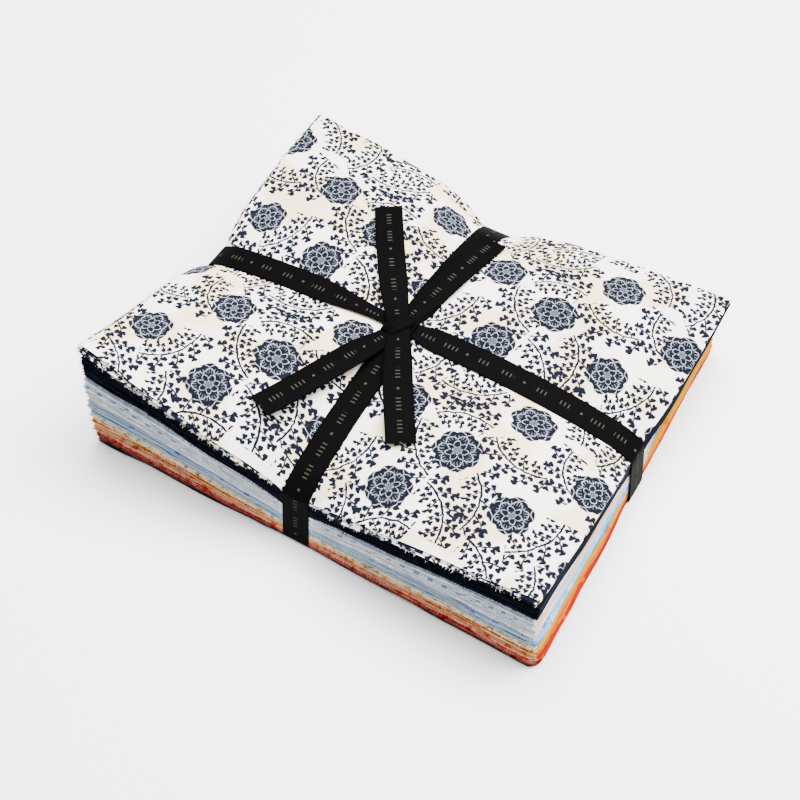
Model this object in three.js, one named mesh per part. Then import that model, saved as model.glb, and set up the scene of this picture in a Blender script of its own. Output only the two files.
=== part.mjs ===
// A bundle of folded fat quarters, pinched both ways by a ribbon that is knotted on top.
// Millimetres, +Z up. X runs along the long side, Y towards the back, and Z = 0 is the underside.
import * as THREE from "three";

// Each fat quarter is 457 x 533 mm, folded in half one way and then the other.
const LONG_SIDE = 267;
const SHORT_SIDE = 229;

// Height of the stack at its corners, at the middle of each side under the ribbon, and at the knot.
const CORNER = { left: 81, back: 65, right: 50, front: 61 };
const WAIST = { left: 52, back: 37, right: 37, front: 40 };
const CROWN = 56;
// Powers of the share from knot to rim: a strap's bend down, and the cloth's rise beside a strap.
const DOME = 2.2;
const SWELL = 0.6;
// How much the long strap's left half, and the middle of each quarter of the top, stand higher.
const HUMP = 3;
const PUFF = 3;
// Share by which the stack is packed tighter at its bottom and looser at its top than evenly.
const LOOSENESS = 0.15;
// How far the ribbon draws in each side, at the top of the stack.
const DRAWN_IN = { left: 3, back: 9, right: 3, front: 4 };

// The ribbon: its width, its thickness, and the place of its two straps.
const RIBBON_WIDTH = 15.9;
const RIBBON_THICK = 1;
const SHORT_STRAP_X = -7;
const LONG_STRAP_Y = 1;
const LONG_STRAP_SKEW = 0.023;

const APART = 0.3;
// Distances from a strap's middle: the flat under it, the cloth's shoulder, and midway to the rim.
const FLAT_HALF = RIBBON_WIDTH / 2 + 0.65;
const SHOULDER = 24;
const MIDWAY = 66;

// Each ply is the cloth doubled by its first fold. The second fold is the round turn at +X.
// left, right, front and back: how far that edge lies out (+) or in (-) at its corners.
const FAT_QUARTERS = [
  { name: "forest", colour: 0x15202a, left: -1.0, right: -0.5, front: -0.6, back: -0.8 },
  { name: "garnet", colour: 0x8f1f22, left: 0.0, right: 0.0, front: -0.2, back: -0.3 },
  { name: "poppy", colour: 0xb5292c, left: -0.8, right: -0.6, front: 0.0, back: 0.0 },
  { name: "brick", colour: 0xc4402f, left: -1.6, right: -0.2, front: -0.9, back: -1.2 },
  { name: "coral", colour: 0xe28a68, left: -0.4, right: -1.0, front: -0.4, back: -0.5 },
  { name: "amber", colour: 0xd98a2b, left: -1.2, right: -0.4, front: -1.3, back: -0.2 },
  { name: "mustard", colour: 0xe0a53a, left: -0.2, right: -0.9, front: -0.5, back: -1.0 },
  { name: "straw", colour: 0xecdca0, left: -1.9, right: -0.3, front: -1.1, back: -0.6 },
  { name: "dotted", colour: 0xe9ecee, left: -0.6, right: -1.2, front: -0.3, back: -1.4 },
  { name: "teal", colour: 0x6fa7bd, left: -1.4, right: -0.7, front: -1.5, back: -0.4 },
  { name: "sky", colour: 0x8fbcd8, left: -0.3, right: -0.5, front: -0.7, back: -0.9 },
  { name: "lavender", colour: 0xb9bfd8, left: -1.7, right: -1.1, front: -0.2, back: -1.1 },
  { name: "mist", colour: 0xc9d6e0, left: -0.9, right: -0.4, front: -1.2, back: -0.3 },
  { name: "chalk", colour: 0xf1f1ee, left: -0.5, right: -0.8, front: -0.6, back: -0.7 },
  { name: "blush", colour: 0xecdad4, left: -1.5, right: -0.2, front: -1.6, back: -1.3 },
  { name: "pearl", colour: 0xe6e8ea, left: -0.1, right: -1.3, front: -0.4, back: -0.5 },
  { name: "silver", colour: 0xcfd5dc, left: -1.1, right: -0.6, front: -1.0, back: -0.8 },
  { name: "frost", colour: 0xe9edf0, left: -1.8, right: -0.9, front: -0.5, back: -0.2 },
  { name: "indigo", colour: 0x1c2748, left: -0.7, right: -0.3, front: -1.4, back: -1.2 },
  { name: "ink", colour: 0x1a2236, left: -1.3, right: -1.0, front: -0.3, back: -0.6 },
  { name: "navy", colour: 0x141c30, left: -0.4, right: -0.5, front: -0.8, back: -1.0 },
  { name: "raven", colour: 0x10141f, left: -1.0, right: -0.7, front: -0.2, back: -0.4 },
  { name: "midnight", colour: 0x0f1626, left: -0.2, right: -0.4, front: -1.1, back: -0.7 },
  { name: "cream", colour: 0xf2efe6, left: 0.0, right: 0.0, front: 0.0, back: 0.0 },
];
const COUNT = FAT_QUARTERS.length;

// Parts of one fat quarter's pitch: a ply, the slit inside the fold, and the round turn's reach.
const PLY_SHARE = 0.41;
const TURN_REACH = 0.42;
const TURN_REACH_MAX = 1.3;
const INNER_TURN = 0.3;
// The round turn's section: share of its height, and share of its reach.
const TURN_SHAPE = [
  { up: 0.15, out: 0.7 },
  { up: 0.5, out: 1 },
  { up: 0.85, out: 0.7 },
];

// Free ends of the ribbon. x and y are the middle of the cut end, and tier 1 leaves the knot above
// its neighbours of tier 0.
const TAILS = [
  { name: "ribbon_end_back", x: -59, y: 69, tier: 1 },
  { name: "ribbon_end_front", x: 30, y: -68, tier: 1 },
  { name: "ribbon_end_left", x: -42, y: -88, tier: 0 },
  { name: "ribbon_end_right", x: 1, y: 90, tier: 0 },
];
const TAIL_STEPS = 8;
const TAIL_ARCH = 2;
const TIER_HEIGHT = 3;
const TAIL_EASE = 1.5;
// x and y: the knot lies a little off the crossing. flat: where the lump is cut off below its
// middle, as a share of its half height.
const KNOT = { x: -11, y: -1, length: 21, width: 19, height: 5.5, flat: 0.8, sides: 16, rings: 10 };

const mix = (a, b, t) => a + (b - a) * t;
const GRID = 8;
const STRAP_LINES = [3, 4];
const SHOULDER_LINES = [2, 5];
const onStrap = (line) => STRAP_LINES.includes(line);

// Distance of a grid line from a strap's middle, towards a rim at low or at high.
function lineOffset(line, low, high) {
  return [low, -MIDWAY, -SHOULDER, -FLAT_HALF, FLAT_HALF, SHOULDER, MIDWAY, high][line];
}

const strapY = (x) => LONG_STRAP_Y + LONG_STRAP_SKEW * x;

// Share of the way from a strap's flat to the rim, for a stack of this size and a strap at this place.
function share(line, size, strap) {
  const rim = line < GRID / 2 ? size / 2 + strap : size / 2 - strap;
  return (Math.abs(lineOffset(line, rim, rim)) - FLAT_HALF) / (rim - FLAT_HALF);
}

// Height of the stack's top at a grid point, blended from the four sides of its quarter of the top.
function topHeight(i, j) {
  const left = i < GRID / 2;
  const front = j < GRID / 2;
  const sideX = left ? WAIST.left : WAIST.right;
  const sideY = front ? WAIST.front : WAIST.back;
  const corner = left ? (front ? CORNER.left : CORNER.back) : front ? CORNER.front : CORNER.right;
  const a = share(i, LONG_SIDE, SHORT_STRAP_X);
  const b = share(j, SHORT_SIDE, LONG_STRAP_Y);
  const underLong = mix(CROWN, sideX, a ** DOME) + (left ? HUMP * Math.sin(Math.PI * a) : 0);
  const underShort = mix(CROWN, sideY, b ** DOME);
  const rimX = mix(sideX, corner, b ** SWELL);
  const rimY = mix(sideY, corner, a ** SWELL);
  const corners = mix(mix(CROWN, sideX, a), mix(sideY, corner, a), b);
  const puff = 16 * PUFF * a * (1 - a) * b * (1 - b);
  return mix(underLong, rimY, b) + mix(underShort, rimX, a) - corners + puff;
}

// How far a fat quarter's round turn reaches past its right rim at grid row j.
const turnReach = (j) => Math.min((TURN_REACH * topHeight(GRID - 1, j)) / COUNT, TURN_REACH_MAX);

// Place of a grid point before a rim is drawn in. The round turns end at the long side's full size.
function gridPoint(i, j) {
  const half = LONG_SIDE / 2;
  const x = SHORT_STRAP_X + lineOffset(i, -half - SHORT_STRAP_X, half - turnReach(j) - SHORT_STRAP_X);
  const middle = strapY(x);
  return { x, y: middle + lineOffset(j, -SHORT_SIDE / 2 - middle, SHORT_SIDE / 2 - middle) };
}

// The underside is flat on the surface, but lifts over the ribbon that passes beneath.
function underHeight(i, j) {
  return (Number(onStrap(i)) + Number(onStrap(j))) * (RIBBON_THICK + APART);
}

// How far the ribbon draws a rim in at the top, fading to nothing at the shoulder's outer side.
function drawnIn(line, amount) {
  if (onStrap(line)) return amount;
  return SHOULDER_LINES.includes(line) ? amount / 2 : 0;
}

// Outward shift of a rim point: its corners' slack, or the ribbon's pull under a strap.
const rimShift = (line, slack, amount, level) =>
  (onStrap(line) ? 0 : slack) - drawnIn(line, amount) * level;

// A point of the stack at a level from 0, the underside, to 1, the top. A shifted rim point keeps
// to the slope of the cell beside it, but not under a strap, which draws it straight in.
function stackPoint(i, j, level, slack) {
  const point = gridPoint(i, j);
  const z = (a, b) => mix(underHeight(a, b), topHeight(a, b), level);
  const own = z(i, j);
  const place = new THREE.Vector3(point.x, point.y, own);
  if (i === 0 || i === GRID - 1) {
    const inner = i === 0 ? 1 : GRID - 2;
    const side = i === 0 ? "left" : "right";
    const shift = rimShift(j, slack[side], DRAWN_IN[side], level);
    place.x += i === 0 ? -shift : shift;
    if (!onStrap(j)) place.z += ((own - z(inner, j)) * shift) / Math.abs(point.x - gridPoint(inner, j).x);
  }
  if (j === 0 || j === GRID - 1) {
    const inner = j === 0 ? 1 : GRID - 2;
    const side = j === 0 ? "front" : "back";
    const shift = rimShift(i, slack[side], DRAWN_IN[side], level);
    place.y += j === 0 ? -shift : shift;
    if (!onStrap(i)) place.z += ((own - z(i, inner)) * shift) / Math.abs(point.y - gridPoint(i, inner).y);
  }
  return place;
}

// Level in the stack, 0 to 1, of the underside of this fat quarter.
const levelOf = (number) => mix(number / COUNT, (number / COUNT) ** 2, LOOSENESS);

// A closed solid from rows of points. outer[s][p] and inner[s][p] are the two faces of a sheet at
// station s across it and step p along its path. A closed path joins its last step to its first.
function sheetSolid(outer, inner, closed) {
  const stations = outer.length;
  const steps = outer[0].length;
  const positions = [];
  [outer, inner].flat(2).forEach((p) => positions.push(p.x, p.y, p.z));
  const at = (face, s, p) => face * stations * steps + s * steps + (p % steps);
  const index = [];
  const quad = (a, b, c, d) => index.push(a, c, b, a, d, c);
  // Both halves of a folded path split their quads along the same diagonal, seen from above.
  const split = (a, b, c, d, turned) => (turned ? quad(b, c, d, a) : quad(a, b, c, d));
  const last = closed ? steps : steps - 1;
  for (let p = 0; p < last; p += 1) {
    const turned = p >= (steps - 1) / 2;
    for (let s = 0; s < stations - 1; s += 1) {
      split(at(0, s, p), at(0, s, p + 1), at(0, s + 1, p + 1), at(0, s + 1, p), turned);
      split(at(1, s + 1, p), at(1, s + 1, p + 1), at(1, s, p + 1), at(1, s, p), !turned);
    }
    quad(at(0, 0, p), at(1, 0, p), at(1, 0, p + 1), at(0, 0, p + 1));
    const end = stations - 1;
    quad(at(0, end, p), at(0, end, p + 1), at(1, end, p + 1), at(1, end, p));
  }
  if (!closed) {
    for (let s = 0; s < stations - 1; s += 1) {
      quad(at(0, s, 0), at(0, s + 1, 0), at(1, s + 1, 0), at(1, s, 0));
      const p = steps - 1;
      quad(at(0, s, p), at(1, s, p), at(1, s + 1, p), at(0, s + 1, p));
    }
  }
  const geometry = new THREE.BufferGeometry();
  geometry.setAttribute("position", new THREE.Float32BufferAttribute(positions, 3));
  geometry.setIndex(index);
  geometry.computeVertexNormals();
  return geometry;
}

const AHEAD = [...Array(GRID).keys()];
const BACK = [...AHEAD].reverse();

// The section of one fat quarter at grid row j: under ply, round turn at +X, upper ply.
function foldSection(number, j, slack) {
  const reach = turnReach(j);
  const low = levelOf(number);
  const layer = levelOf(number + 1) - low;
  const place = (i, part) => {
    const pitch = (topHeight(i, j) - underHeight(i, j)) * layer;
    return stackPoint(i, j, low + layer * part * (1 - APART / pitch), slack);
  };
  const row = (order, part) => order.map((i) => place(i, part));
  const turn = (low, high, far) =>
    TURN_SHAPE.map(({ up, out }) => {
      const point = place(GRID - 1, low).lerp(place(GRID - 1, high), up);
      return point.add(new THREE.Vector3(out * far, 0, 0));
    });
  const upper = 1 - PLY_SHARE;
  return {
    outer: [...row(AHEAD, 0), ...turn(0, 1, reach), ...row(BACK, 1)],
    inner: [...row(AHEAD, PLY_SHARE), ...turn(PLY_SHARE, upper, INNER_TURN * reach), ...row(BACK, upper)],
  };
}

function fatQuarter(number, slack) {
  const sections = AHEAD.map((j) => foldSection(number, j, slack));
  return sheetSolid(
    sections.map((s) => s.outer),
    sections.map((s) => s.inner),
    false,
  );
}

// A strap's closed path in the plane (along, height), as pairs of inner and outer points.
// rims: the two rims at the bottom and the top. top and under: heights at the lines between them.
function strapPath(rims, along, top, under) {
  const t = RIBBON_THICK;
  const pair = (a, z, outA, outZ) => ({ inner: [a, z], outer: [a + outA * t, z + outZ * t] });
  return [
    pair(rims.lowUnder - APART, t, -1, -1),
    ...along.map((a, n) => pair(a, under[n], 0, -1)),
    pair(rims.highUnder + APART, t, 1, -1),
    pair(rims.highTop + APART, rims.highZ + APART, 1, 1),
    ...along.map((a, n) => pair(a, top[n], 0, 1)).reverse(),
    pair(rims.lowTop - APART, rims.lowZ + APART, -1, 1),
  ];
}

function strapSolid(path, place) {
  const rows = (face) => [-1, 1].map((side) => path.map((p) => place(p[face][0], p[face][1], side)));
  return sheetSolid(rows("outer"), rows("inner"), true);
}

const MIDDLE_LINES = AHEAD.slice(1, -1);
const NO_SLACK = { left: 0, right: 0, front: 0, back: 0 };

// The rims that a strap passes, from the stack's low and high side. reach is past the high rim.
function strapRims(rim, axis, reach) {
  const high = GRID - 1;
  return {
    lowUnder: rim(0, 0)[axis],
    lowTop: rim(0, 1)[axis],
    lowZ: rim(0, 1).z,
    highUnder: rim(high, 0)[axis] + reach,
    highTop: rim(high, 1)[axis] + reach,
    highZ: rim(high, 1).z,
  };
}

// The strap along X, next to the cloth. Beneath, it passes over the other strap.
function longStrap() {
  const j = STRAP_LINES[0];
  const rims = strapRims((i, level) => stackPoint(i, j, level, NO_SLACK), "x", turnReach(j));
  const along = MIDDLE_LINES.map((i) => gridPoint(i, j).x);
  const top = MIDDLE_LINES.map((i) => topHeight(i, j) + APART);
  const under = MIDDLE_LINES.map((i) => underHeight(i, j) - APART);
  const place = (x, z, side) => new THREE.Vector3(x, strapY(x) + (side * RIBBON_WIDTH) / 2, z);
  return strapSolid(strapPath(rims, along, top, under), place);
}

// The strap along Y. On top it crosses the other strap, and beneath it lies on the surface.
function shortStrap() {
  const i = STRAP_LINES[0];
  const rims = strapRims((j, level) => stackPoint(i, j, level, NO_SLACK), "y", 0);
  const middle = strapY(SHORT_STRAP_X);
  const along = MIDDLE_LINES.map((j) => middle + lineOffset(j, 0, 0));
  const crossing = RIBBON_THICK + APART;
  const top = MIDDLE_LINES.map((j) => topHeight(i, j) + APART + (onStrap(j) ? crossing : 0));
  const under = MIDDLE_LINES.map(() => RIBBON_THICK);
  const place = (y, z, side) => new THREE.Vector3(SHORT_STRAP_X - (side * RIBBON_WIDTH) / 2, y, z);
  return strapSolid(strapPath(rims, along, top, under), place);
}

// Height of the top cloth at any place: its grid cell is split in two along one diagonal.
function topAt(x, y) {
  const line = (count, at) => {
    let n = 0;
    while (n < count - 2 && at(n + 1) < 0) n += 1;
    return n;
  };
  const i = line(GRID, (n) => gridPoint(n, 0).x - x);
  const edgeY = (n) => strapY(x) + lineOffset(n, -SHORT_SIDE / 2 - strapY(x), SHORT_SIDE / 2 - strapY(x));
  const j = line(GRID, (n) => edgeY(n) - y);
  const a = (x - gridPoint(i, 0).x) / (gridPoint(i + 1, 0).x - gridPoint(i, 0).x);
  const b = (y - edgeY(j)) / (edgeY(j + 1) - edgeY(j));
  const here = topHeight(i, j);
  const across = topHeight(i + 1, j + 1);
  const by = a > b ? topHeight(i + 1, j) : topHeight(i, j + 1);
  return a > b ? here + a * (by - here) + b * (across - by) : here + b * (by - here) + a * (across - by);
}

const KNOT_BASE = CROWN + 2 * RIBBON_THICK + 3 * APART;

// A free end runs straight from the knot's side, arches a little and comes down on the cloth.
function tail({ x, y, tier }) {
  const heading = new THREE.Vector2(x - KNOT.x, y - KNOT.y);
  const whole = heading.length();
  heading.normalize();
  const side = new THREE.Vector2(-heading.y, heading.x).multiplyScalar(RIBBON_WIDTH / 2);
  const leave = 1 / Math.hypot(heading.x / (KNOT.length / 2), heading.y / (KNOT.width / 2)) + APART;
  const rest = RIBBON_THICK + 2 * APART;
  const extra = KNOT_BASE - CROWN - rest + tier * TIER_HEIGHT;
  const rows = { top: [[], []], under: [[], []] };
  for (let n = 0; n <= TAIL_STEPS; n += 1) {
    const t = n / TAIL_STEPS;
    const along = mix(leave, whole, t);
    const middle = new THREE.Vector2(KNOT.x, KNOT.y).addScaledVector(heading, along);
    const places = [middle.clone().sub(side), middle.clone().add(side)];
    const cloth = Math.max(...[middle, ...places].map((place) => topAt(place.x, place.y)));
    const z = cloth + rest + extra * (1 - t) ** TAIL_EASE + TAIL_ARCH * Math.sin(Math.PI * t);
    places.forEach((place, edge) => {
      rows.under[edge].push(new THREE.Vector3(place.x, place.y, z));
      rows.top[edge].push(new THREE.Vector3(place.x, place.y, z + RIBBON_THICK));
    });
  }
  return sheetSolid(rows.under, rows.top, false);
}

// The knot: a low rounded lump, flat where it sits on the straps.
function knot() {
  const lump = new THREE.SphereGeometry(1, KNOT.sides, KNOT.rings).rotateX(Math.PI / 2);
  const place = lump.attributes.position;
  for (let n = 0; n < place.count; n += 1) {
    const z = Math.max(place.getZ(n), -KNOT.flat) + KNOT.flat;
    const height = KNOT_BASE + (z / (1 + KNOT.flat)) * KNOT.height;
    const x = KNOT.x + (place.getX(n) * KNOT.length) / 2;
    place.setXYZ(n, x, KNOT.y + (place.getY(n) * KNOT.width) / 2, height);
  }
  return lump;
}

const group = new THREE.Group();

function addMesh(name, geometry, colour, roughness) {
  const material = new THREE.MeshStandardMaterial({ color: colour, roughness, metalness: 0 });
  const mesh = new THREE.Mesh(geometry, material);
  mesh.name = name;
  group.add(mesh);
}

FAT_QUARTERS.forEach((row, number) => {
  const label = String(number + 1).padStart(2, "0");
  addMesh(`fat_quarter_${label}_${row.name}`, fatQuarter(number, row), row.colour, 0.9);
});

const RIBBON_COLOUR = 0x17171a;
const RIBBON_ROUGHNESS = 0.75;
addMesh("ribbon_strap_long", longStrap(), RIBBON_COLOUR, RIBBON_ROUGHNESS);
addMesh("ribbon_strap_short", shortStrap(), RIBBON_COLOUR, RIBBON_ROUGHNESS);
addMesh("ribbon_knot", knot(), RIBBON_COLOUR, RIBBON_ROUGHNESS);
TAILS.forEach((row) => addMesh(row.name, tail(row), RIBBON_COLOUR, RIBBON_ROUGHNESS));

export default group;
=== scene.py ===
import math

import bpy
import numpy as np
from mathutils import Matrix, Vector


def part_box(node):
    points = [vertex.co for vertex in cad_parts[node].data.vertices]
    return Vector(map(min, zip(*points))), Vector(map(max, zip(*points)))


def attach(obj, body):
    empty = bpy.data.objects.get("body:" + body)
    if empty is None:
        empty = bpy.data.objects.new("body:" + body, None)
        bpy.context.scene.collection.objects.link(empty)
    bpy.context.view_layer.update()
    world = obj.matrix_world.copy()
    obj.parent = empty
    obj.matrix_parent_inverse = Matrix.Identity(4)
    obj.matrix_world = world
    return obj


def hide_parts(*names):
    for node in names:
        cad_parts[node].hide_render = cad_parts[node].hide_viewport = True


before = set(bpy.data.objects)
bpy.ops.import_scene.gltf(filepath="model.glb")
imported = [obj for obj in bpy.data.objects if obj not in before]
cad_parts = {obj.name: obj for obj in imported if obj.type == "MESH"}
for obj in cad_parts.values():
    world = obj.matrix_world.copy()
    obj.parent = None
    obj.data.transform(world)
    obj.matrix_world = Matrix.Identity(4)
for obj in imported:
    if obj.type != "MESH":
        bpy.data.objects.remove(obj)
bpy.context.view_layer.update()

MM = 0.001
SEED = 11

# Sizes of the folded cloths and of the tied stack, in millimetres. The flat cut is in metres.
LONG_SIDE = 267.0
SHORT_SIDE = 229.0
# Heights of the stack at its corners, where the straps go over the rims, and under the knot.
CORNER = {"left": 81.0, "back": 65.0, "right": 50.0, "front": 61.0}
WAIST = {"left": 52.0, "back": 37.0, "right": 37.0, "front": 40.0}
CROWN = 56.0
# How far the straps draw the rims in.
DRAWN_IN = {"left": 3.0, "back": 9.0, "right": 3.0, "front": 4.0}
# How the top falls along a strap and rises beside it, its low hump under the long strap's left
# half, the puff between the straps, and the slight rumple of the whole.
DOME = 2.2
SWELL = 0.6
HUMP = 3.0
PUFF = 3.0
RUMPLE = 1.2
# The upper cloths lie looser than the lower ones by this share.
LOOSENESS = 0.3
# How thick a layer of cloth is, and how far a folded cloth stays from the one above it.
CLOTH = 0.38
CLOTH_APART = 0.12
# How far a strap's pull is felt beside it, and how it fades.
PINCH_REACH = 16.0
PINCH_FADE = 1.4
# How far the rims roll down under a strap, and over what distance.
ROLL = 3.5
ROLL_REACH = 15.0
# The left corner's upper cloths curl up: by how much at the corner, and over what distance.
CURL = 6.5
CURL_REACH = 55.0
# How far each corner leans out of the square, at the bottom, the middle and the top of the stack.
LEAN = {
    "left": {"side": (-1, -1), "bottom": (-3.0, -0.3), "middle": (-5.0, 0.0), "top": (2.0, 0.0)},
    "front": {"side": (1, -1), "bottom": (2.6, -3.0), "middle": (1.4, -1.6), "top": (-1.5, 0.0)},
    "right": {"side": (1, 1), "bottom": (-3.0, 1.0), "middle": (-2.0, 0.5), "top": (0.0, 0.0)},
}
# The front corner is rounded by this radius at the bottom and less and less towards the top.
# ROUND_CUT is the share of its radius that a round corner loses along each side.
ROUND = 6.5
ROUND_CUT = 0.3

RIBBON_WIDTH = 15.9
RIBBON_THICK = 0.45
RIBBON_APART = 0.25
SHORT_STRAP_X = -7.0
LONG_STRAP_Y = 1.0
LONG_STRAP_SKEW = 0.023
FLAT_HALF = RIBBON_WIDTH / 2 + 0.4
# How far from its middle a strap beneath the stack lifts the lowest cloth.
SHOULDER = 24.0

QUARTERS = sorted(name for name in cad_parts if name.startswith("fat_quarter_"))
COUNT = len(QUARTERS)

# How far the round folds stand out at the right-hand side, in millimetres, by level in the stack:
# in front of the long strap and behind it, and the distance over which one passes to the other.
STAND_OUT = [
    {"level": 0.00, "front": 0.6, "back": -0.6},
    {"level": 0.04, "front": 0.9, "back": -0.5},
    {"level": 0.08, "front": 1.7, "back": -0.2},
    {"level": 0.15, "front": 1.7, "back": 0.2},
    {"level": 0.20, "front": 0.8, "back": 0.4},
    {"level": 0.32, "front": 0.6, "back": -0.1},
    {"level": 0.35, "front": -0.4, "back": -2.6},
    {"level": 0.44, "front": -0.2, "back": -3.0},
    {"level": 0.50, "front": -1.5, "back": -3.2},
    {"level": 0.74, "front": -1.9, "back": -2.4},
    {"level": 0.80, "front": -0.2, "back": 1.2},
    {"level": 0.94, "front": 0.2, "back": 1.9},
    {"level": 1.00, "front": 0.0, "back": 0.0},
]
FRONT_TO_BACK = 36.0

# Places of the cut ends of the fat quarters' four layers: for the top cloth, and the range for the
# others. WANDER is how far a cut end or a fold strays from its line.
TOP_ENDS = (1.6, -0.6, 1.0, 0.4)
OTHER_ENDS = (-0.9, 0.5)
WANDER = {"end": 1.1, "fold": 0.6}
WANDER_LENGTHS = (22.0, 100.0)
# How far in from a rim the cloth gives way to what pushes or pulls it there.
GIVE = 40.0
# The grid stops this far inside the rims, where the round turns of the folds begin.
TURN_ROOM = {"right": 1.2, "back": 0.6}
# How much cloth the two folds take up, on either side of the middle of the turn.
FOLD_TAKES = {"right": 1.6, "back": 0.8}
# Four layers lie in a cloth's pitch. A layer's half thickness is at most this share of it.
MOST_HALF = 0.105
# Just under a quarter turn: past it a layer is flat, and nothing bulges.
QUARTER_TURN = 1.57
# The grid of a cloth: its widest step, and its steps round a turn.
TOP_GRID = {"step": 3.2, "turn_steps": 5}
INNER_GRID = {"step": 8.5, "turn_steps": 3}


# Small shared helpers.

def mix(a, b, t):
    return a + (b - a) * t


def smooth(t):
    t = np.clip(t, 0.0, 1.0)
    return t * t * (3.0 - 2.0 * t)


def waves(rng, lengths, terms=3):
    """A smooth random function of x and y, about -1 to 1, from a few long sine waves."""
    rows = []
    for _ in range(terms):
        turn = rng.uniform(0.0, 2.0 * math.pi)
        size = 2.0 * math.pi / rng.uniform(*lengths)
        rows.append((size * math.cos(turn), size * math.sin(turn), rng.uniform(0.0, 2.0 * math.pi)))

    def value(x, y):
        return sum(np.sin(a * x + b * y + c) for a, b, c in rows) / terms

    return value


# Form of the tied stack: every surface in it is a level from 0, the underside, to 1, the top.

def strap_y(x):
    return LONG_STRAP_Y + LONG_STRAP_SKEW * x


def strap_share(offset, low, high):
    """0 on a strap's flat, 1 at the rim."""
    reach = np.where(offset < 0, low, high) - FLAT_HALF
    return np.clip((np.abs(offset) - FLAT_HALF) / reach, 0.0, 1.0)


def swell(t, start=0.015):
    """Rises steeply beside the strap and gently towards the rim."""
    return ((t + start) ** SWELL - start**SWELL) / ((1 + start) ** SWELL - start**SWELL)


def pinch(offset):
    """How much of a strap's inward pull is felt at this distance from its middle."""
    return np.exp(-((np.maximum(np.abs(offset) - FLAT_HALF, 0.0) / PINCH_REACH) ** PINCH_FADE))


def rolled(distance, offset):
    """How far a rim under a strap bends down, this far from the rim and from the strap's middle."""
    return ROLL * np.clip(1 - distance / ROLL_REACH, 0.0, 1.0) ** 2 * pinch(offset)


RUMPLING = waves(np.random.default_rng(SEED), (38.0, 90.0), 5)


def top_height(x, y):
    across, along = x - SHORT_STRAP_X, y - strap_y(x)
    left, front = across < 0, along < 0
    a = strap_share(across, LONG_SIDE / 2 + SHORT_STRAP_X, LONG_SIDE / 2 - SHORT_STRAP_X)
    b = strap_share(along, SHORT_SIDE / 2 + strap_y(x), SHORT_SIDE / 2 - strap_y(x))
    side_x = np.where(left, WAIST["left"], WAIST["right"])
    side_y = np.where(front, WAIST["front"], WAIST["back"])
    corner = np.where(
        left,
        np.where(front, CORNER["left"], CORNER["back"]),
        np.where(front, CORNER["front"], CORNER["right"]),
    )
    under_long = mix(CROWN, side_x, a**DOME) + np.where(left, HUMP * np.sin(math.pi * a), 0.0)
    under_short = mix(CROWN, side_y, b**DOME)
    rim_x, rim_y = mix(side_x, corner, swell(b)), mix(side_y, corner, swell(a))
    corners = mix(mix(CROWN, side_x, a), mix(side_y, corner, a), b)
    puff = PUFF * 4 * a * (1 - a) * 4 * b * (1 - b)
    drawn_x = np.where(left, DRAWN_IN["left"], DRAWN_IN["right"])
    drawn_y = np.where(front, DRAWN_IN["front"], DRAWN_IN["back"])
    roll = rolled(LONG_SIDE / 2 - drawn_x - np.abs(x), along)
    roll = roll + rolled(SHORT_SIDE / 2 - drawn_y - np.abs(y), across)
    rumple = RUMPLE * RUMPLING(x, y) * np.minimum(1.0, 5.0 * np.minimum(a, b))
    return mix(under_long, rim_y, b) + mix(under_short, rim_x, a) - corners + puff + rumple - roll


def under_height(x, y):
    """The underside is level on the surface, and lifts over the straps that pass beneath."""
    def lift(offset):
        return smooth((SHOULDER - np.abs(offset)) / (SHOULDER - FLAT_HALF))

    return (lift(x - SHORT_STRAP_X) + lift(y - strap_y(x))) * (RIBBON_THICK + RIBBON_APART)


def stack_height(x, y, level):
    low = under_height(x, y)
    away = np.hypot(x + LONG_SIDE / 2, y + SHORT_SIDE / 2)
    curl = CURL * np.clip(1 - away / CURL_REACH, 0.0, 1.0) ** 2
    return low + (top_height(x, y) - low) * level + curl * level**4


def level_of(number):
    """Level of the underside of this fat quarter: the stack is looser at its top."""
    t = number / COUNT
    return mix(t, t * t, LOOSENESS)


def leaned(x, y, level):
    """Moves a point out with its corner of the stack, but not under the straps, and rounds the
    front corner."""
    free = (1 - pinch(y - strap_y(x))) * (1 - pinch(x - SHORT_STRAP_X))
    move_x, move_y = 0.0, 0.0
    for row in LEAN.values():
        near = np.clip(0.5 + row["side"][0] * x / LONG_SIDE, 0, 1)
        near = near * np.clip(0.5 + row["side"][1] * y / SHORT_SIDE, 0, 1)
        weights = (1 - level) * (1 - 2 * level), 4 * level * (1 - level), level * (2 * level - 1)
        for weight, part in zip(weights, ("bottom", "middle", "top")):
            move_x = move_x + row[part][0] * weight * near**3 * free
            move_y = move_y + row[part][1] * weight * near**3 * free
    from_right = np.clip(1 - (LONG_SIDE / 2 - x) / ROUND, 0.0, 1.2)
    from_front = np.clip(1 - (y + SHORT_SIDE / 2) / ROUND, 0.0, 1.2)
    rounding = ROUND_CUT * ROUND * (1 - level) * from_right**2 * from_front**2
    return x + move_x - rounding, y + move_y + rounding


# Meshes.

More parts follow.
